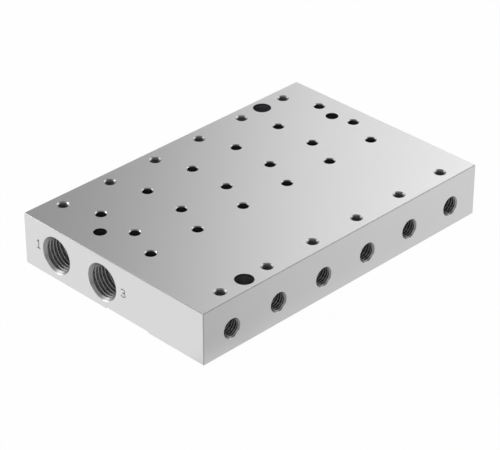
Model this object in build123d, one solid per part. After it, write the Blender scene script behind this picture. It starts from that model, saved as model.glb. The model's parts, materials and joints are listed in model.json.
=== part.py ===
from build123d import *
import math
import os

os.makedirs("parts", exist_ok=True)

# Manifold block for a row of pneumatic valves: one block of aluminium, drilled and tapped from all sides.
# X runs along the row of valve stations, Y from the outlet face in front to the rear face, Z upwards.
# The origin is the centre of the underside. Sizes are in millimetres.
# Tapped holes are drilled to the thread's major diameter, and the thread itself is left out.

# Valve stations
station_count = 6
station_pitch = 20.5
end_margin = 12.25  # from each end face to the nearest station's centre line

# Block
block_width = 83.5
block_height = 19.0
edge_break = 0.2

# Shallow relief along the underside, which leaves two lands to stand on
relief_front = 25.0  # from the front face to the relief
relief_width = 20.0
relief_depth = 0.6
relief_corner = 0.3

# Supply and exhaust channels from end to end, with a tapped port at both ends of each
channel_diameter = 11.5  # also the tapping drill of the ports
channel_spacing = 22.0
channel_middle = 57.15  # from the front face to the line halfway between the channels
channel_height = 9.3
port_thread = 13.157  # pipe thread G 1/4
port_thread_depth = 12.0
port_countersink = 13.4

# Outlets in the front face, one for each station
outlet_height = 8.0
outlet_thread = 7.0  # M7 x 1
outlet_thread_depth = 8.5
outlet_countersink = 7.2
outlet_duct_diameter = 6.0  # also the tapping drill of the outlets
outlet_duct_past_passage = 1.0  # from the passage's centre line to the end of the full diameter

# Passages from the valve face down to the channels and to the outlet ducts
passage_diameter = 3.6
passage_countersink = 4.2
channel_passage_spacing = 16.2  # across the stations, about the line halfway between the channels
channel_passage_offset = 4.85  # along the row, from the station's centre line
outlet_passage_front = 36.4  # from the front face

# Tapped holes for the valves' fixing screws, one behind and one in front of each valve
screw_thread = 4.0  # M4
screw_thread_depth = 5.5
screw_countersink = 4.3
screw_edge_distance = 5.2  # from the front and the rear face

# Plain holes through the block, by which it is fixed
corner_hole_diameter = 6.4
corner_hole_edge_distance = 5.0  # from the front and the rear face
middle_hole_diameter = 4.5
middle_hole_end_distance = 9.5  # from each end face

drill_point = 118.0  # full angle of the drills' points, in degrees
overrun = 1.0  # how far each cut runs on outside the block

block_length = (station_count - 1) * station_pitch + 2 * end_margin
front_face = -block_width / 2
rear_face = block_width / 2
end_face = block_length / 2
station_centres = [(k - (station_count - 1) / 2) * station_pitch for k in range(station_count)]
channel_centres = [front_face + channel_middle + side * channel_spacing / 2 for side in (-1, 1)]


def point_length(diameter, end_diameter=0.0):
    """Length over which a drill's point narrows from one diameter to another."""
    return (diameter - end_diameter) / 2 / math.tan(math.radians(drill_point / 2))


def drilling(countersink, stages):
    """Space of a countersunk blind hole that is drilled down from the origin.

    Each stage is a diameter and the depth that it is cut to, from the mouth inwards.
    A drill's point joins each stage to the next and ends the last one.
    """
    rim = countersink / 2
    mouth = stages[0][0] / 2
    outline = [(0, overrun), (rim + overrun, overrun), (mouth, mouth - rim)]
    for (diameter, depth), (inner_diameter, _) in zip(stages, stages[1:] + [(0.0, None)]):
        outline.append((diameter / 2, -depth))
        outline.append((inner_diameter / 2, -depth - point_length(diameter, inner_diameter)))
    half_section = Plane.XZ * make_face(Polyline(*outline, close=True))
    return revolve(half_section, Axis.Z)


def through_hole(diameter, length):
    """Space of a plain hole that runs down from the origin and out of the far side."""
    depth = length + 2 * overrun
    return Pos(0, 0, overrun - depth / 2) * Cylinder(diameter / 2, depth)


def from_top(hole, x, y):
    """The hole, cut down from the valve face."""
    return Pos(x, y, block_height) * hole


def from_front(hole, x, z):
    """The hole, cut in from the front face."""
    return Plane(origin=(x, front_face, z), z_dir=(0, -1, 0)) * hole


def from_end(hole, side, y, z):
    """The hole, cut in from the end face on the side given by -1 or 1."""
    return Plane(origin=(side * end_face, y, z), z_dir=(side, 0, 0)) * hole


def plain_block():
    """The sawn and milled block with its edges broken and its relief cut."""
    block = Box(
        block_length,
        block_width,
        block_height,
        align=(Align.CENTER, Align.CENTER, Align.MIN),
    )
    block = chamfer(block.edges(), edge_break)
    relief = Box(block_length + 2 * overrun, relief_width, 2 * relief_depth)
    relief = fillet(relief.edges().filter_by(Axis.X), relief_corner)
    return block - Pos(0, front_face + relief_front + relief_width / 2, 0) * relief


def channels():
    """Both channels, with a tapped port at each end."""
    duct = through_hole(channel_diameter, block_length)
    port = drilling(port_countersink, [(port_thread, port_thread_depth)])
    cuts = [from_end(duct, 1, y, channel_height) for y in channel_centres]
    cuts += [from_end(port, side, y, channel_height) for side in (-1, 1) for y in channel_centres]
    return cuts


def outlets():
    """A tapped outlet for each station, with its duct to the passage behind it."""
    duct_end = outlet_passage_front + outlet_duct_past_passage
    outlet = drilling(
        outlet_countersink,
        [(outlet_thread, outlet_thread_depth), (outlet_duct_diameter, duct_end)],
    )
    return [from_front(outlet, x, outlet_height) for x in station_centres]


def passages():
    """Three passages for each station: to both channels and to the outlet duct."""
    to_channel = drilling(passage_countersink, [(passage_diameter, block_height - channel_height)])
    to_outlet = drilling(passage_countersink, [(passage_diameter, block_height - outlet_height)])
    middle = front_face + channel_middle
    cuts = []
    for x in station_centres:
        for side in (-1, 1):
            y = middle + side * channel_passage_spacing / 2
            cuts.append(from_top(to_channel, x + channel_passage_offset, y))
        cuts.append(from_top(to_outlet, x, front_face + outlet_passage_front))
    return cuts


def valve_screw_holes():
    """Two tapped blind holes for each station, near the front and the rear face."""
    hole = drilling(screw_countersink, [(screw_thread, screw_thread_depth)])
    rows = (front_face + screw_edge_distance, rear_face - screw_edge_distance)
    return [from_top(hole, x, y) for x in station_centres for y in rows]


def fixing_holes():
    """The plain holes: two near opposite corners, and one between the ports at each end."""
    corner_hole = through_hole(corner_hole_diameter, block_height)
    corner_x = station_centres[-1] - station_pitch / 2
    corner_y = rear_face - corner_hole_edge_distance
    middle_hole = through_hole(middle_hole_diameter, block_height)
    middle_x = end_face - middle_hole_end_distance
    middle_y = front_face + channel_middle
    return [
        from_top(corner_hole, corner_x, corner_y),
        from_top(corner_hole, -corner_x, -corner_y),
        from_top(middle_hole, middle_x, middle_y),
        from_top(middle_hole, -middle_x, middle_y),
    ]


def manifold_block():
    """The finished block with every hole cut."""
    holes = channels() + outlets() + passages() + valve_screw_holes() + fixing_holes()
    return plain_block() - holes


export_step(manifold_block(), "parts/manifold_block.step")
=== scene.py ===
"""The manifold block as a product photograph shows it: finish, threads, port numbers and studio."""

import json
import logging
import math
from dataclasses import dataclass
from enum import Enum

import bpy
import numpy as np
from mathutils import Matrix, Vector


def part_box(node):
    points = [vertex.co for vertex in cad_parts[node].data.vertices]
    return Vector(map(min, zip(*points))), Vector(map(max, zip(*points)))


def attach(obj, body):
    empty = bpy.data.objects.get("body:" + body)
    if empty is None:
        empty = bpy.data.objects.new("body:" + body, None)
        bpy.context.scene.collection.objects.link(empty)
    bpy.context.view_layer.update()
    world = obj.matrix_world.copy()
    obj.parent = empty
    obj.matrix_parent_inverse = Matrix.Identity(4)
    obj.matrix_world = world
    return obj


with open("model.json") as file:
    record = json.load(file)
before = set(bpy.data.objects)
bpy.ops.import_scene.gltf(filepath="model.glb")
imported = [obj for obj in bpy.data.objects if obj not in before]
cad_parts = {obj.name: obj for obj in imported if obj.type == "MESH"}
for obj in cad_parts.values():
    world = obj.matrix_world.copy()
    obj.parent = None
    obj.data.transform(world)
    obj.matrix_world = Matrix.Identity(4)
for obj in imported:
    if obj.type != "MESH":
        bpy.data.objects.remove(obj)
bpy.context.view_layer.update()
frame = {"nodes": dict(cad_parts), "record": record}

log = logging.getLogger("manifold")

MM = 0.001
BODY = "root"
BLOCK_NODE = "manifold_block"
SHARP_ANGLE = 40.0  # degrees between two faces, past which the edge between them stays sharp
MARK_DETAIL = 3.0  # octaves of the noise that draws a cutter's marks
MARK_SPAN = (0.3, 0.7)  # values between which that noise mostly lies


def linear(colour: str) -> tuple[float, float, float, float]:
    """An sRGB hex colour as linear red, green and blue, with full alpha."""
    parts = [int(colour[i : i + 2], 16) / 255 for i in (1, 3, 5)]
    return (*(p / 12.92 if p <= 0.04045 else ((p + 0.055) / 1.055) ** 2.4 for p in parts), 1.0)


def add_node(tree: bpy.types.NodeTree, kind: str, inputs: dict | None = None, **settings) -> bpy.types.Node:
    """Adds a node with its settings and links.

    Args:
        tree: the node tree.
        kind: the node's type.
        inputs: by an input's name or number, its value, or the output socket or node that feeds it. A node
            feeds it from its first output.
        settings: the node's own properties.

    Returns:
        The node.
    """
    node = tree.nodes.new(kind)
    for key, value in settings.items():
        setattr(node, key, value)
    for key, value in (inputs or {}).items():
        if isinstance(value, bpy.types.Node):
            value = value.outputs[0]
        if isinstance(value, bpy.types.NodeSocket):
            tree.links.new(value, node.inputs[key])
        else:
            node.inputs[key].default_value = value
    return node


def new_material(name: str) -> tuple[bpy.types.Material, bpy.types.NodeTree]:
    """An empty node material and its tree.

    Args:
        name: the finish's name.

    Returns:
        The material, and its node tree.
    """
    material = bpy.data.materials.new(name)
    material.use_nodes = True
    material.node_tree.nodes.clear()
    return material, material.node_tree


@dataclass(frozen=True)
class CutSurface:
    """How a cutter left aluminium: the metal's grey, its sheen, and the marks that run along the cut.

    The marks make the sheen a little uneven, and are pressed into the surface as a very shallow bump.
    """

    colour: str
    roughness: float
    roughness_spread: float
    mark_width: float  # mm across the marks; real ones are near 0.1, and are drawn coarser to show
    mark_length: float  # mm along the marks
    mark_depth: float  # mm

    def shader(self, tree: bpy.types.NodeTree, place: bpy.types.NodeSocket) -> bpy.types.Node:
        """Adds the surface's nodes to a material.

        Args:
            tree: the material's node tree.
            place: coordinates on the object.

        Returns:
            The surface's shader.
        """
        along, over = 1 / (self.mark_length * MM), 1 / (self.mark_width * MM)
        stretched = add_node(tree, "ShaderNodeMapping", {"Vector": place, "Scale": (along, over, over)})
        marks = add_node(
            tree, "ShaderNodeTexNoise", {"Vector": stretched, "Scale": 1.0, "Detail": MARK_DETAIL}
        ).outputs["Fac"]
        low, high = self.roughness - self.roughness_spread, self.roughness + self.roughness_spread
        faint, strong = MARK_SPAN
        sheen = add_node(
            tree, "ShaderNodeMapRange",
            {"Value": marks, "From Min": faint, "From Max": strong, "To Min": low, "To Max": high},
        )
        bump = add_node(
            tree, "ShaderNodeBump", {"Height": marks, "Strength": 1.0, "Distance": self.mark_depth * MM}
        )
        return add_node(
            tree, "ShaderNodeBsdfPrincipled",
            {"Base Color": linear(self.colour), "Metallic": 1.0, "Roughness": sheen, "Normal": bump},
        )


# The top, the underside and both ends, face milled: light and satin, with faint marks along the block
MILLED = CutSurface("#dbdbdb", 0.34, 0.02, mark_width=0.5, mark_length=25.0, mark_depth=0.0006)
# The front and the rear, as the bar was drawn: as satin, with longer marks, and painted a little greyer as
# shade on those sides
DRAWN_AND_SHADED = CutSurface("#cfcfcf", 0.34, 0.02, mark_width=0.5, mark_length=60.0, mark_depth=0.0006)
# Edges with their burrs taken off: duller than the faces, so that each shows as a thin grey line
BROKEN_EDGE = CutSurface("#b4b4b4", 0.5, 0.05, mark_width=0.3, mark_length=1.5, mark_depth=0.002)
# Rims of the holes in the valve face, turned by a sharp cutter: smoothest of all, so that they glint
CHAMFERED = CutSurface("#bcbcbc", 0.26, 0.03, mark_width=0.2, mark_length=1.0, mark_depth=0.001)
# Walls of the wide corner holes: rough, and painted lighter than the other drillings, as light from below
BORED_AND_LIT = CutSurface("#919295", 0.5, 0.06, mark_width=0.3, mark_length=0.6, mark_depth=0.003)
# Walls of the other drillings: rough, and painted dark as shade in the holes, nearly black
DRILLED_AND_SHADED = CutSurface("#66676a", 0.5, 0.06, mark_width=0.3, mark_length=0.6, mark_depth=0.004)
# Coarse threads of the ports: torn slightly by the tap, each turn a soft grey band; painted darker as shade
TAPPED_AND_SHADED = CutSurface("#a8a8a8", 0.5, 0.05, mark_width=0.4, mark_length=0.4, mark_depth=0.001)
# Fine threads of the outlets: smoother, and painted darker as shade
FINELY_TAPPED_AND_SHADED = CutSurface("#8a8a8a", 0.34, 0.04, mark_width=0.3, mark_length=0.3, mark_depth=0.0005)
# Fine threads of the blind screw holes: duller, and painted darker again as shade
BLIND_TAPPED_AND_SHADED = CutSurface("#808080", 0.4, 0.04, mark_width=0.3, mark_length=0.3, mark_depth=0.0005)
# Countersinks of the ports and outlets: matt rings, painted greyer than the faces round them as shade
COUNTERSUNK_AND_SHADED = CutSurface("#8e8e8e", 0.4, 0.04, mark_width=0.3, mark_length=2.0, mark_depth=0.001)


@dataclass(frozen=True)
class MilledAndDrilled:
    """Milled aluminium with drawn sides painted greyer as shade, and the finishes that its edges, chamfers
    and drilled walls have.

    Depth is the distance to the nearest of the block's six faces, so it is nothing all over those faces. The
    chamfers round the holes lie just below, and the drilled walls deeper, painted dark as shade in the holes.
    The edges are where the second nearest face is near too, and the sides are where the surface faces
    forwards or back, painted greyer as shade. The corner holes are wider, and their walls are painted lighter
    inside, as light that comes up through them. Lengths are in metres.
    """

    name: str = "milled_aluminium"
    outside: CutSurface = MILLED
    # The front and rear faces are painted greyer, as shade that falls on them
    side: CutSurface = DRAWN_AND_SHADED
    edge: CutSurface = BROKEN_EDGE
    chamfer: CutSurface = CHAMFERED
    inside: CutSurface = DRILLED_AND_SHADED
    # The corner holes' walls are painted lighter, as light that comes up through them
    lit_corner_hole: CutSurface = BORED_AND_LIT
    corner_axis: tuple[float, float, float] = (41.0 * MM, 36.75 * MM, 0.0)  # the other's is its mirror image
    corner_reach: float = 3.5 * MM  # from the axis
    side_facing: float = 0.9  # how squarely a side faces forwards or back, where 1 is fully
    edge_reach: float = 0.25 * MM
    skin: float = 0.02 * MM
    begins: float = 0.65 * MM  # depth from which chamfers give way to drilled walls
    complete: float = 1.0 * MM  # depth past which all is drilled

    def build(self) -> bpy.types.Material:
        """Makes the finish.

        Returns:
            The material.
        """
        material, tree = new_material(self.name)
        coordinates = add_node(tree, "ShaderNodeTexCoord")
        place = coordinates.outputs["Object"]
        nearest, second = self.depths(tree, place)
        facing = add_node(tree, "ShaderNodeSeparateXYZ", {0: coordinates.outputs["Normal"]}).outputs["Y"]
        squarely = add_node(tree, "ShaderNodeMath", {0: facing}, operation="ABSOLUTE")
        # Faces pointing forwards or back get painted shade: a greyer colour
        at_shaded_side = add_node(
            tree, "ShaderNodeMath", {0: squarely, 1: self.side_facing}, operation="GREATER_THAN"
        )
        below = add_node(tree, "ShaderNodeMath", {0: nearest, 1: self.skin}, operation="GREATER_THAN")
        at_edge = add_node(tree, "ShaderNodeMath", {0: second, 1: self.edge_reach}, operation="LESS_THAN")
        # Deeper than the chamfers the walls are painted dark, as shade in the holes
        painted_depth_share = add_node(
            tree, "ShaderNodeMapRange", {"Value": nearest, "From Min": self.begins, "From Max": self.complete}
        )
        # Near the corner holes' axes the deep walls get painted light: a lighter grey
        near_axis = self.near_corner_axis(tree, place)
        lit_corner_share = add_node(tree, "ShaderNodeMath", {0: near_axis, 1: painted_depth_share}, operation="MULTIPLY")
        zones = (
            (at_shaded_side, self.side),
            (below, self.chamfer),
            (at_edge, self.edge),
            (painted_depth_share, self.inside),
            (lit_corner_share, self.lit_corner_hole),
        )
        shader = self.outside.shader(tree, place)
        for share, surface in zones:
            over = surface.shader(tree, place)
            shader = add_node(tree, "ShaderNodeMixShader", {0: share, 1: shader, 2: over})
        add_node(tree, "ShaderNodeOutputMaterial", {"Surface": shader})
        return material

    def near_corner_axis(self, tree: bpy.types.NodeTree, place: bpy.types.NodeSocket) -> bpy.types.Node:
        """Adds nodes that give one near the axes of the corner holes, and nothing elsewhere.

        The place is folded into one quarter of the block by dropping its signs, and its height is left out.

        Args:
            tree: the material's node tree.
            place: coordinates on the block.

        Returns:
            The node that gives the share.
        """
        folded = add_node(tree, "ShaderNodeVectorMath", {0: place}, operation="ABSOLUTE")
        level = add_node(tree, "ShaderNodeVectorMath", {0: folded, 1: (1, 1, 0)}, operation="MULTIPLY")
        away = add_node(
            tree, "ShaderNodeVectorMath", {0: level, 1: self.corner_axis}, operation="DISTANCE"
        ).outputs["Value"]
        return add_node(tree, "ShaderNodeMath", {0: away, 1: self.corner_reach}, operation="LESS_THAN")

    def depths(
        self, tree: bpy.types.NodeTree, place: bpy.types.NodeSocket
    ) -> tuple[bpy.types.Node, bpy.types.Node]:
        """Adds nodes for the distances to the nearest and to the second nearest pair of faces.

        Args:
            tree: the material's node tree.
            place: coordinates on the block.

        Returns:
            The nodes that give the two distances.
        """
        low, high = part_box(BLOCK_NODE)
        centre, half = (low + high) / 2, (high - low) / 2
        offset = add_node(tree, "ShaderNodeVectorMath", {0: place, 1: centre}, operation="SUBTRACT")
        distance = add_node(tree, "ShaderNodeVectorMath", {0: offset}, operation="ABSOLUTE")
        depths = add_node(tree, "ShaderNodeVectorMath", {0: half, 1: distance}, operation="SUBTRACT")
        x, y, z = add_node(tree, "ShaderNodeSeparateXYZ", {0: depths}).outputs
        nearer = add_node(tree, "ShaderNodeMath", {0: x, 1: y}, operation="MINIMUM")
        farther = add_node(tree, "ShaderNodeMath", {0: x, 1: y}, operation="MAXIMUM")
        nearest = add_node(tree, "ShaderNodeMath", {0: nearer, 1: z}, operation="MINIMUM")
        between = add_node(tree, "ShaderNodeMath", {0: farther, 1: z}, operation="MINIMUM")
        second = add_node(tree, "ShaderNodeMath", {0: nearer, 1: between}, operation="MAXIMUM")
        return nearest, second


@dataclass(frozen=True)
class Cut:
    """Aluminium as one cutter leaves it."""

    name: str
    surface: CutSurface

    def build(self) -> bpy.types.Material:
        """Makes the finish.

        Returns:
            The material.
        """
        material, tree = new_material(self.name)
        place = add_node(tree, "ShaderNodeTexCoord").outputs["Object"]
        add_node(tree, "ShaderNodeOutputMaterial", {"Surface": self.surface.shader(tree, place)})
        return material


@dataclass(frozen=True)
class LaserMark:
    """Laser marking on aluminium: a dull grey oxide, a little uneven, through which some metal shows."""

    name: str = "laser_marked_aluminium"
    colour: str = "#8f8f90"
    metallic: float = 0.7
    roughness: float = 0.6
    roughness_spread: float = 0.1
    grain: float = 0.15  # mm

    def build(self) -> bpy.types.Material:
        """Makes the finish.

        Returns:
            The material.
        """
        material, tree = new_material(self.name)
        place = add_node(tree, "ShaderNodeTexCoord").outputs["Object"]
        grain = add_node(tree, "ShaderNodeTexNoise", {"Vector": place, "Scale": 1 / (self.grain * MM)})
        low, high = self.roughness - self.roughness_spread, self.roughness + self.roughness_spread
        dull = add_node(
            tree, "ShaderNodeMapRange", {"Value": grain.outputs["Fac"], "To Min": low, "To Max": high}
        )
        oxide = add_node(
            tree, "ShaderNodeBsdfPrincipled",
            {"Base Color": linear(self.colour), "Metallic": self.metallic, "Roughness": dull},
        )
        add_node(tree, "ShaderNodeOutputMaterial", {"Surface": oxide})
        return material


@dataclass(frozen=True)
class WhiteSweep:
    """Studio paper: matt and pale, and seen as plain white apart from the object's faint shadow.

    The metal sees painted shade in it: its white is dimmed in front of the block towards the near corner, as
    where the lamps reach it less. The shade is the product of a ramp along X and a ramp along Y, each from
    none to full.
    """

    name: str = "white_paper"
    colour: str = "#e6e6e6"
    whiteness: float = 0.98  # share of plain white that the eye and the metal see in it
    painted_dimming: float = 0.27  # share of that which the near corner lacks, as painted shade
    dim_along: tuple[float, float] = (0.075, -0.055)  # metres along X
    dim_across: tuple[float, float] = (-0.034, -0.050)  # metres along Y

    def build(self) -> bpy.types.Material:
        """Makes the finish.

        Returns:
            The material.
        """
        material, tree = new_material(self.name)
        rays = add_node(tree, "ShaderNodeLightPath").outputs
        seen = rays["Is Camera Ray"]
        for other in ("Is Glossy Ray", "Is Transmission Ray"):
            seen = add_node(tree, "ShaderNodeMath", {0: seen, 1: rays[other]}, operation="MAXIMUM")
        share = add_node(tree, "ShaderNodeMath", {0: seen, 1: self.whiteness}, operation="MULTIPLY")
        # Painted shade in the paper's white, which only the metal sees
        dim = self.painted_shade_share(tree, rays["Is Glossy Ray"])
        level = add_node(tree, "ShaderNodeMath", {0: 1.0, 1: dim}, operation="SUBTRACT")
        paper = add_node(tree, "ShaderNodeBsdfDiffuse", {"Color": linear(self.colour)})
        white = add_node(tree, "ShaderNodeEmission", {"Color": (1, 1, 1, 1), "Strength": level})
        mixed = add_node(tree, "ShaderNodeMixShader", {0: share, 1: paper, 2: white})
        add_node(tree, "ShaderNodeOutputMaterial", {"Surface": mixed})
        return material

    def painted_shade_share(self, tree: bpy.types.NodeTree, metal: bpy.types.NodeSocket) -> bpy.types.Node:
        """Adds nodes for the painted shade: the share of white that the metal misses in the paper.

        Args:
            tree: the material's node tree.
            metal: gives one where the metal looks, and nothing elsewhere.

        Returns:
            The node that gives the share.
        """
        place = add_node(tree, "ShaderNodeTexCoord").outputs["Object"]
        x, y, _ = add_node(tree, "ShaderNodeSeparateXYZ", {0: place}).outputs
        dim = metal
        for axis, (none, full), most in ((x, self.dim_along, self.painted_dimming), (y, self.dim_across, 1.0)):
            ramp = add_node(
                tree, "ShaderNodeMapRange",
                {"Value": axis, "From Min": none, "From Max": full, "To Min": 0.0, "To Max": most},
            )
            dim = add_node(tree, "ShaderNodeMath", {0: dim, 1: ramp}, operation="MULTIPLY")
        return dim


@dataclass(frozen=True)
class ThreadSection:
    """Section of an internal thread, in shares of its pitch.

    flank is the angle between a flank and the thread's radius, in degrees. crest and root are half-widths,
    and rounding is the radius of both, or 0 where they are flat.
    """

    flank: float
    crest: float
    root: float
    rounding: float

    def rounded_rise(self, offset: np.ndarray) -> np.ndarray:
        """Rise of a crest's arc at an offset from its middle: its radius less the arc's height there."""
        inside = np.clip(self.rounding**2 - offset**2, 0.0, None)
        return self.rounding - np.sqrt(inside) if self.rounding else np.zeros_like(offset)

    def height(self, offset: np.ndarray) -> np.ndarray:
        """Height of the section above its crest, by the offset from the crest's middle.

        The crest's arc or flat comes first, then the flank as a straight line, and the root mirrors the
        crest.

        Args:
            offset: distances along the axis, from 0 at the crest's middle to 0.5 at the root's.

        Returns:
            Heights in shares of the pitch, from 0 at the crest to the full depth at the root.
        """
        slope = 1 / math.tan(math.radians(self.flank))
        crest_rise = self.rounded_rise(np.array([self.crest]))[0]
        root_rise = self.rounded_rise(np.array([self.root]))[0]
        full = crest_rise + root_rise + (0.5 - self.crest - self.root) * slope
        on_crest = self.rounded_rise(offset)
        on_flank = crest_rise + (offset - self.crest) * slope
        on_root = full - self.rounded_rise(0.5 - offset)
        ends = [offset <= self.crest, offset >= 0.5 - self.root]
        return np.select(ends, [on_crest, on_root], on_flank)

    def depth(self) -> float:
        """Full depth of the section, from the crest to the root."""
        return float(self.height(np.array([0.5]))[0])


class Thread(Enum):
    """Threads in the block: major diameter and pitch in millimetres, section, and columns round the hole."""

    PIPE = (13.157, 1.337, ThreadSection(27.5, 0.1218, 0.1218, 0.1373), 96)
    OUTLET = (7.0, 1.0, ThreadSection(30.0, 0.125, 0.0625, 0.0), 64)
    SCREW = (4.0, 0.7, ThreadSection(30.0, 0.125, 0.0625, 0.0), 48)

    def __init__(self, major: float, pitch: float, section: ThreadSection, columns: int) -> None:
        """Takes the sizes to metres.

        Args:
            major: major diameter in millimetres.
            pitch: pitch in millimetres.
            section: the thread's section.
            columns: how many columns of faces go round the hole.
        """
        self.major_radius = major * MM / 2
        self.pitch = pitch * MM
        self.section = section
        self.columns = columns

    @property
    def minor_radius(self) -> float:
        """Radius of the crests: the major radius less the section's depth."""
        return self.major_radius - self.section.depth() * self.pitch


def hole_axes(outward: Vector) -> tuple[np.ndarray, np.ndarray, np.ndarray]:
    """Right-handed axes for a hole: two across it, and one that points into the block.

    Args:
        outward: direction that the hole's mouth faces.

    Returns:
        Three unit vectors, of which the first two span the mouth and the third is the hole's depth.
    """
    inward = -np.array(outward, float)
    level = abs(inward[2]) < 0.5
    first = np.array((0.0, 0.0, 1.0) if level else (1.0, 0.0, 0.0))
    second = np.cross(inward, first)
    return first, second, inward


def closed_grid(points: np.ndarray) -> tuple[np.ndarray, np.ndarray]:
    """Vertices and faces of a grid whose last row joins its first, and whose last column joins its first.

    Args:
        points: array of rows x columns x 3.

    Returns:
        Vertices, and four-sided faces as indices into them.
    """
    rows, columns, _ = points.shape
    index = np.arange(rows * columns).reshape(rows, columns)
    below, right = np.roll(index, -1, axis=0), np.roll(index, -1, axis=1)
    corner = np.roll(below, -1, axis=1)
    faces = np.stack([index, below, corner, right], axis=-1).reshape(-1, 4)
    return points.reshape(-1, 3), faces


def make_piece(
    name: str, vertices: np.ndarray, faces: np.ndarray, finish: bpy.types.Material
) -> bpy.types.Object:
    """A mesh object at the origin, which rides with the block and wears a finish.

    Args:
        name: the piece's name.
        vertices: array of points in metres, in the block's frame.
        faces: four-sided faces that point out of the piece.
        finish: its material.

    Returns:
        The object.
    """
    mesh = bpy.data.meshes.new(name)
    mesh.from_pydata(vertices.tolist(), [], faces.tolist())
    mesh.materials.append(finish)
    mesh.polygons.foreach_set("use_smooth", np.ones(len(faces), bool))
    mesh.set_sharp_from_angle(angle=math.radians(SHARP_ANGLE))
    piece = bpy.data.objects.new(name, mesh)
    bpy.context.scene.collection.objects.link(piece)
    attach(piece, BODY)
    return piece


@dataclass
class TappedHole:
    """Thread and countersink that line one tapped hole, whose bore has the thread's major diameter.

    mouth is the centre of the hole in the block's face, outward the way it faces, depth the thread's depth
    from that face, and start the depth at which the block's own countersink ends. All are in metres.
    """

    name: str
    thread: Thread
    mouth: Vector
    outward: Vector
    depth: float
    start: float
    samples_per_pitch: int = 16
    skin: float = 0.05 * MM  # how far the lining reaches into the metal round it
    root_clearance: float = 0.005  # share of the radius by which roots stay inside the bore's flat facets
    lead_in: float = 0.25  # turns over which the thread reaches its depth below the countersink
    lead_in_start: float = 1.0  # where that begins: 0 at the bore's rim, 1 where the countersink ends
    runout: float = 1.5  # turns over which it fades at its end
    lead: float = 0.0  # share of a turn by which the helix is turned

    def cone(self, depth: np.ndarray) -> np.ndarray:
        """Radius of the countersink at a depth: one unit narrower for each unit further in."""
        return self.thread.major_radius + self.start - depth

    def radius(self, depth: np.ndarray, angle: np.ndarray) -> np.ndarray:
        """Radius of the lining at a depth and an angle.

        The thread's section is read at the distance from the nearest crest of a helix, which advances one
        pitch for each turn. Its root deepens from the crest over the lead-in, which begins in the countersink
        or where its cone meets the crests, and fades to the crest again over the runout.

        Args:
            depth: depths from the mouth.
            angle: angles round the hole, in radians.

        Returns:
            Radii, as an array of the shape that depth and angle share.
        """
        pitch = self.thread.pitch
        turns = depth / pitch - angle / (2 * math.pi) - self.lead
        height = self.thread.section.height(np.abs(turns - np.round(turns))) * pitch
        full = self.thread.section.depth() * pitch
        begin = self.start + self.lead_in_start * full
        begun = np.clip((depth - begin) / (self.lead_in * pitch), 0.0, 1.0)
        left = np.clip((self.depth - depth) / (self.runout * pitch), 0.0, 1.0)
        threaded = self.thread.minor_radius + np.minimum(height, full * np.minimum(begun, left))
        bore = self.thread.major_radius * (1 - self.root_clearance)
        inner = np.where(depth > self.start, bore, self.thread.major_radius)
        return np.minimum(np.maximum(threaded, self.cone(depth)), inner)

    def surface(self) -> tuple[np.ndarray, np.ndarray]:
        """Grid of the closed lining: its inside from mouth to end, and its back in the metal.

        Each point is the mouth's centre, plus the depth along the hole, plus the radius turned round it.

        Returns:
            Array of rows x columns x 3, and for each point whether it lies on the countersink.
        """
        rows = round((self.depth - self.start) / self.thread.pitch * self.samples_per_pitch)
        depth = np.linspace(self.start, self.depth, rows + 1)[:, None]
        angle = np.linspace(0, 2 * math.pi, self.thread.columns, endpoint=False)[None, :]
        radius = self.radius(depth, angle)
        back = np.full((2, self.thread.columns), self.thread.major_radius + self.skin)
        depth = np.vstack([depth, [[self.depth], [self.start]]])
        radius = np.vstack([radius, back])
        first, second, inward = hole_axes(self.outward)
        turned = np.cos(angle)[..., None] * first + np.sin(angle)[..., None] * second
        points = np.array(self.mouth) + depth[..., None] * inward + radius[..., None] * turned
        return points, radius <= self.cone(depth)

    def build(self, tapped: bpy.types.Material, countersunk: bpy.types.Material) -> bpy.types.Object:
        """Builds the lining.

        Args:
            tapped: the thread's finish.
            countersunk: the countersink's finish.

        Returns:
            The lining as one piece.
        """
        points, on_cone = self.surface()
        vertices, faces = closed_grid(points)
        piece = make_piece(self.name, vertices, faces, tapped)
        piece.data.materials.append(countersunk)
        slots = on_cone.reshape(-1)[faces[:, 0]].astype(np.int32)
        piece.data.polygons.foreach_set("material_index", slots)
        return piece


@dataclass
class PassageCut:
    """Where a passage from the valve face breaks into a port's thread.

    centre is a point on the passage's axis, which is upright, at the height of the port's axis. Sizes are in
    metres.
    """

    centre: Vector
    radius: float = 1.8 * MM
    length: float = 12 * MM
    columns: int = 48
    pole: float = 0.001  # share of the radius to which the drum's ends close

    def surface(self) -> np.ndarray:
        """Grid of a closed drum: a ring round the rim of each end, and one that closes to its middle.

        Each point is the centre, plus the ring's radius turned round the axis, plus the ring's height.

        Returns:
            Array of rings x columns x 3.
        """
        angle = np.linspace(0, 2 * math.pi, self.columns, endpoint=False)[None, :]
        radius = self.radius * np.array([self.pole, 1.0, 1.0, self.pole])[:, None]
        height = self.length * np.array([0.0, 0.0, 1.0, 1.0])[:, None]
        drum = [radius * np.cos(angle), radius * np.sin(angle), height + 0 * angle]
        return np.array(self.centre) + np.stack(drum, axis=-1)

    def apply(self, piece: bpy.types.Object) -> None:
        """Cuts the passage out of a piece's mesh.

        Args:
            piece: the piece, whose mesh is replaced.
        """
        vertices, faces = closed_grid(self.surface())
        mesh = bpy.data.meshes.new("passage")
        mesh.from_pydata(vertices.tolist(), [], faces[:, ::-1].tolist())
        cutter = bpy.data.objects.new("passage", mesh)
        bpy.context.scene.collection.objects.link(cutter)
        cut = piece.modifiers.new("passage", "BOOLEAN")
        cut.operation = "DIFFERENCE"
        cut.solver = "EXACT"
        cut.object = cutter
        evaluated = piece.evaluated_get(bpy.context.evaluated_depsgraph_get())
        result = bpy.data.meshes.new_from_object(evaluated)
        piece.modifiers.clear()
        piece.data = result
        bpy.data.objects.remove(cutter)


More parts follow.
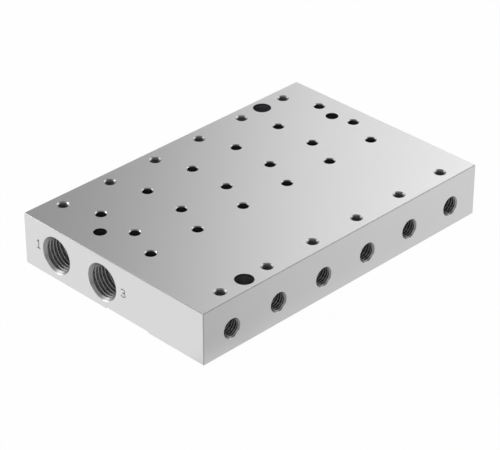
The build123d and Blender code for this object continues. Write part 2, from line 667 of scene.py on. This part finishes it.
@dataclass
class TappedHoles:
    """All tapped holes of the block, placed by its mounts and faces."""

    port_lead: float = 0.2  # share of a turn by which a port's thread is turned
    screw_rim: float = 2.15 * MM  # radius of the countersink at the face
    screw_depth: float = 5.5 * MM
    screw_lead: float = 0.33
    screw_lead_in_start: float = 0.4  # the first turn runs out into the countersink
    passage_offset: float = 4.85 * MM  # along the row, from a station to its channel passages
    passage_spacing: float = 16.2 * MM  # across the row, between the two channel passages

    def from_threaded_mount(self, mount: dict) -> TappedHole:
        """A port or an outlet, from its bore's middle and the face of the block's box that it opens in.

        Args:
            mount: the hole's mount in the part's record.

        Returns:
            The tapped hole.
        """
        outward = Vector(mount["axis"])
        middle = Vector(mount["pos_m"])
        low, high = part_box(BLOCK_NODE)
        face = max(outward.dot(low), outward.dot(high))
        to_middle = face - outward.dot(middle)
        half = mount["dims"]["length_mm"] * MM / 2
        thread = Thread.PIPE if mount["name"].startswith("port") else Thread.OUTLET
        return TappedHole(
            name=mount["name"] + "_thread",
            thread=thread,
            mouth=middle + outward * to_middle,
            outward=outward,
            depth=to_middle + half,
            start=to_middle - half,
            lead=self.port_lead if thread is Thread.PIPE else 0.0,
        )

    def from_screw_mount(self, mount: dict) -> list[TappedHole]:
        """The two screw holes of a station.

        Args:
            mount: the pair's mount in the part's record.

        Returns:
            The tapped holes.
        """
        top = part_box(BLOCK_NODE)[1].z
        half = mount["dims"]["spacing_y_mm"] * MM / 2
        return [
            TappedHole(
                name=f"{mount['name']}_{side}",
                thread=Thread.SCREW,
                mouth=Vector((mount["pos_m"][0], sign * half, top)),
                outward=Vector((0, 0, 1)),
                depth=self.screw_depth,
                start=self.screw_rim - Thread.SCREW.major_radius,
                lead_in_start=self.screw_lead_in_start,
                lead=self.screw_lead,
            )
            for side, sign in (("front", -1), ("rear", 1))
        ]

    def last_passages(self, mounts: dict) -> list[PassageCut]:
        """The passages of the last station, which come down through the thread of the far ports.

        Args:
            mounts: the part's mounts, by name.

        Returns:
            The passages into port 1 and port 3.
        """
        station = mounts["valve_screws_6"]["pos_m"][0]
        middle = mounts["middle_fixing_holes"]["pos_m"][1]
        height = mounts["port_1_far"]["pos_m"][2]
        half = self.passage_spacing / 2
        x = station + self.passage_offset
        return [PassageCut(Vector((x, middle + side * half, height))) for side in (1, -1)]

    def build(self) -> None:
        """Builds every lining and reports it."""
        mounts = {mount["name"]: mount for mount in frame["record"]["mounts"]}
        ports = [self.from_threaded_mount(m) for m in mounts.values() if m["kind"] == "threaded_hole"]
        stations = [m for m in mounts.values() if m["name"].startswith("valve_screws")]
        screws = [hole for mount in stations for hole in self.from_screw_mount(mount)]
        # The countersinks of the ports and outlets are painted greyer, as shade in the holes
        dull = Cut("countersunk_aluminium", COUNTERSUNK_AND_SHADED).build()
        bright = Cut("chamfered_aluminium", CHAMFERED).build()
        # The threads are painted darker than the faces, as shade in the holes
        finishes = {
            Thread.PIPE: (Cut("tapped_aluminium", TAPPED_AND_SHADED).build(), dull),
            Thread.OUTLET: (Cut("finely_tapped_aluminium", FINELY_TAPPED_AND_SHADED).build(), dull),
            Thread.SCREW: (Cut("blind_tapped_aluminium", BLIND_TAPPED_AND_SHADED).build(), bright),
        }
        pieces = {hole.name: hole.build(*finishes[hole.thread]) for hole in ports + screws}
        for name, cut in zip(("port_1_far_thread", "port_3_far_thread"), self.last_passages(mounts)):
            cut.apply(pieces[name])
        for name, piece in pieces.items():
            log.info("%s: %d faces", name, len(piece.data.polygons))


@dataclass(frozen=True)
class Stroke:
    """One stroke of a number: an arc or a straight line, in shares of the number's height from its centre.

    An arc has a centre, a radius across and up, and start and end angles in degrees. A line is given by its
    ends.
    """

    start: tuple[float, float]
    end: tuple[float, float]
    centre: tuple[float, float] | None = None
    radii: tuple[float, float] = (0.0, 0.0)

    def path(self, count: int) -> np.ndarray:
        """Points along the stroke: an ellipse's arc, or a straight blend of the ends.

        Args:
            count: how many points.

        Returns:
            Array of count x 2, across and up.
        """
        share = np.linspace(0, 1, count)[:, None]
        if self.centre is None:
            return np.array(self.start) * (1 - share) + np.array(self.end) * share
        angle = np.radians(self.start[0] * (1 - share) + self.end[0] * share)
        arc = np.hstack([np.cos(angle), np.sin(angle)]) * np.array(self.radii)
        return np.array(self.centre) + arc


class Number(Enum):
    """Strokes of the two port numbers."""

    ONE = (
        Stroke((0.08, 0.46), (0.08, -0.46)),
        Stroke((-0.10, 0.25), (0.08, 0.46)),
        Stroke((-0.14, -0.46), (0.26, -0.46)),
    )
    THREE = (
        Stroke((150, 0), (-90, 0), (-0.02, 0.235), (0.29, 0.225)),
        Stroke((90, 0), (-150, 0), (-0.02, -0.235), (0.33, 0.245)),
    )


@dataclass(frozen=True)
class PortNumber:
    """A number marked on the end face beside a port, upright as seen from outside. Sizes are in metres."""

    name: str
    number: Number
    across: float  # place along Y
    up: float  # place along Z
    size: float = 3.3 * MM
    width: float = 0.4 * MM
    proud: float = 0.015 * MM
    count: int = 40  # points along a stroke
    end_count: int = 8  # points round each of its ends
    end_tip: float = 0.02  # share of a quarter turn at which an end's round starts

    def stroke_grid(self, stroke: Stroke, face: float) -> tuple[np.ndarray, np.ndarray]:
        """A stroke as a closed ribbon with round ends.

        The path is run on past its ends by half the width. At each point the ribbon's half-width is that of
        a circle over the run-on, and the full half-width between. A four-cornered section is set square to
        the path.

        Args:
            stroke: the stroke.
            face: place of the end face along X.

        Returns:
            Vertices and faces.
        """
        path = stroke.path(self.count) * self.size
        half = self.width / 2
        turn = np.linspace(self.end_tip, 1.0, self.end_count) * math.pi / 2
        run_on, bulge = np.cos(turn) * half, np.sin(turn) * half
        first, last = path[0] - path[1], path[-1] - path[-2]
        before = path[0] + first / np.linalg.norm(first) * run_on[:, None]
        after = path[-1] + last / np.linalg.norm(last) * run_on[::-1, None]
        path = np.vstack([before[:-1], path, after[1:]])
        widths = np.concatenate([bulge[:-1], np.full(self.count, half), bulge[::-1][1:]])
        along = np.gradient(path, axis=0)
        along /= np.linalg.norm(along, axis=1)[:, None]
        side = np.stack([-along[:, 1], along[:, 0]], axis=1) * widths[:, None]
        left, right = path + side, path - side
        corners = ((left, 0.0), (left, self.proud), (right, self.proud), (right, 0.0))
        rows = [
            np.stack([np.full(len(path), face - out), self.across - edge[:, 0], self.up + edge[:, 1]])
            for edge, out in corners
        ]
        vertices, faces = closed_grid(np.stack(rows).transpose(2, 0, 1))
        last_start = (len(path) - 1) * len(corners)
        ring = np.arange(len(corners))
        caps = np.array([ring, last_start + ring[::-1]])
        return vertices, np.vstack([faces[:last_start], caps])

    def build(self, finish: bpy.types.Material) -> bpy.types.Object:
        """Builds the number from its strokes.

        Args:
            finish: the mark's finish.

        Returns:
            The number as one piece.
        """
        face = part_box(BLOCK_NODE)[0].x
        grids = [self.stroke_grid(stroke, face) for stroke in self.number.value]
        starts = np.cumsum([0] + [len(vertices) for vertices, _ in grids])
        vertices = np.vstack([vertices for vertices, _ in grids])
        faces = np.vstack([faces + start for (_, faces), start in zip(grids, starts)])
        piece = make_piece(self.name, vertices, faces, finish)
        log.info("%s: %d faces", self.name, len(faces))
        return piece


@dataclass
class Block:
    """The block itself, with its threads and its port numbers."""

    one: PortNumber = PortNumber(
        "port_number_1", Number.ONE, across=35.3 * MM, up=10.0 * MM, width=0.42 * MM
    )
    three: PortNumber = PortNumber(
        "port_number_3", Number.THREE, across=-5.5 * MM, up=9.75 * MM, size=3.0 * MM
    )

    def dress(self) -> None:
        """Gives the block its finish."""
        node = frame["nodes"][BLOCK_NODE]
        finish = MilledAndDrilled().build()
        node.data.materials.clear()
        node.data.materials.append(finish)
        log.info("%s: %s", BLOCK_NODE, finish.name)

    def build(self) -> None:
        """Dresses the block and builds its threads and numbers."""
        self.dress()
        TappedHoles().build()
        mark = LaserMark().build()
        self.one.build(mark)
        self.three.build(mark)


def direction(azimuth: float, elevation: float) -> Vector:
    """Unit vector at an azimuth from +X towards +Y and an elevation above the floor, in degrees."""
    a, e = math.radians(azimuth), math.radians(elevation)
    return Vector((math.cos(a) * math.cos(e), math.sin(a) * math.cos(e), math.sin(e)))


@dataclass(frozen=True)
class Softbox:
    """A soft rectangular lamp that faces the block.

    Its place, width and height are angles in degrees as the block sees them, and its distance is in metres.
    brightness is that of its cloth, where 1 is plain white paper.
    """

    name: str
    azimuth: float
    elevation: float
    width: float
    height: float
    brightness: float
    distance: float = 1.0

    def side(self, angle: float) -> float:
        """Length that spans an angle at the lamp's distance."""
        return 2 * self.distance * math.tan(math.radians(angle / 2))

    def build(self) -> bpy.types.Object:
        """Builds the lamp, whose power is its brightness times its area times pi.

        Returns:
            The lamp, turned to face the block.
        """
        light = bpy.data.lights.new(self.name, "AREA")
        light.shape = "RECTANGLE"
        light.size, light.size_y = self.side(self.width), self.side(self.height)
        light.energy = self.brightness * light.size * light.size_y * math.pi
        lamp = bpy.data.objects.new(self.name, light)
        toward = direction(self.azimuth, self.elevation)
        lamp.location = toward * self.distance
        lamp.rotation_euler = toward.to_track_quat("Z", "Y").to_euler()
        lamp.visible_camera = False
        bpy.context.scene.collection.objects.link(lamp)
        return lamp


@dataclass
class Studio:
    """Floor, lamps, surrounding light and camera. Angles are in degrees and sizes in metres."""

    floor_size: float = 6.0
    floor_gap: float = 0.02 * MM
    world_colour: str = "#898989"
    view_azimuth: float = 44.98  # the way the camera looks, from +X towards +Y
    view_elevation: float = 31.68  # down from level
    view_from: Vector = Vector((-456.4, -454.35, 402.2)) * MM
    lens: float = 163.8  # mm
    sensor: float = 36.0  # mm across
    clip: tuple[float, float] = (0.01, 20.0)
    boxes: tuple[Softbox, ...] = (
        Softbox("right_softbox", -10.0, 32.0, 68.0, 34.0, 1.3),
        Softbox("rear_softbox", 33.5, 34.0, 20.0, 36.0, 0.87),
        Softbox("rear_softbox_edge", 48.0, 36.0, 8.0, 36.0, 0.22),
        Softbox("back_softbox", 84.0, 32.0, 26.0, 34.0, 0.45),
        Softbox("left_softbox", 119.0, 32.0, 44.0, 32.0, 1.0),
        Softbox("side_softbox", 184.0, 27.0, 86.0, 28.0, 0.8),
        Softbox("front_softbox", 250.0, 27.0, 44.0, 28.0, 0.85),
        Softbox("top_softbox", 45.0, 88.0, 30.0, 30.0, 0.7),
        Softbox("kicker", 132.0, 18.0, 22.0, 18.0, 3.8, distance=0.166),
    )

    def floor(self) -> bpy.types.Object:
        """Builds the paper that the block stands on.

        Returns:
            The floor.
        """
        half = self.floor_size / 2
        corners = [(-half, -half), (half, -half), (half, half), (-half, half)]
        mesh = bpy.data.meshes.new("floor")
        mesh.from_pydata([(x, y, -self.floor_gap) for x, y in corners], [], [(0, 1, 2, 3)])
        mesh.materials.append(WhiteSweep().build())
        floor = bpy.data.objects.new("floor", mesh)
        bpy.context.scene.collection.objects.link(floor)
        return floor

    def surroundings(self) -> None:
        """Even light from all round."""
        world = bpy.data.worlds.new("studio")
        world.use_nodes = True
        world.node_tree.nodes["Background"].inputs["Color"].default_value = linear(self.world_colour)
        bpy.context.scene.world = world

    def camera(self) -> bpy.types.Object:
        """Sets the camera at the photograph's angle.

        Returns:
            The scene's camera.
        """
        data = bpy.data.cameras.new("camera")
        data.sensor_width = self.sensor
        data.lens = self.lens
        data.clip_start, data.clip_end = self.clip
        camera = bpy.data.objects.new("camera", data)
        camera.location = self.view_from
        looks = direction(self.view_azimuth, -self.view_elevation)
        camera.rotation_euler = looks.to_track_quat("-Z", "Y").to_euler()
        bpy.context.scene.collection.objects.link(camera)
        bpy.context.scene.camera = camera
        return camera

    def build(self) -> None:
        """Sets up the studio."""
        self.floor()
        self.surroundings()
        self.camera()
        for box in self.boxes:
            box.build()
        bpy.context.scene.view_settings.view_transform = "Standard"


def main() -> None:
    """Builds the block and the studio in order."""
    logging.basicConfig(level=logging.INFO, format="%(message)s")
    Block().build()
    Studio().build()


if __name__ == "__main__":
    main()
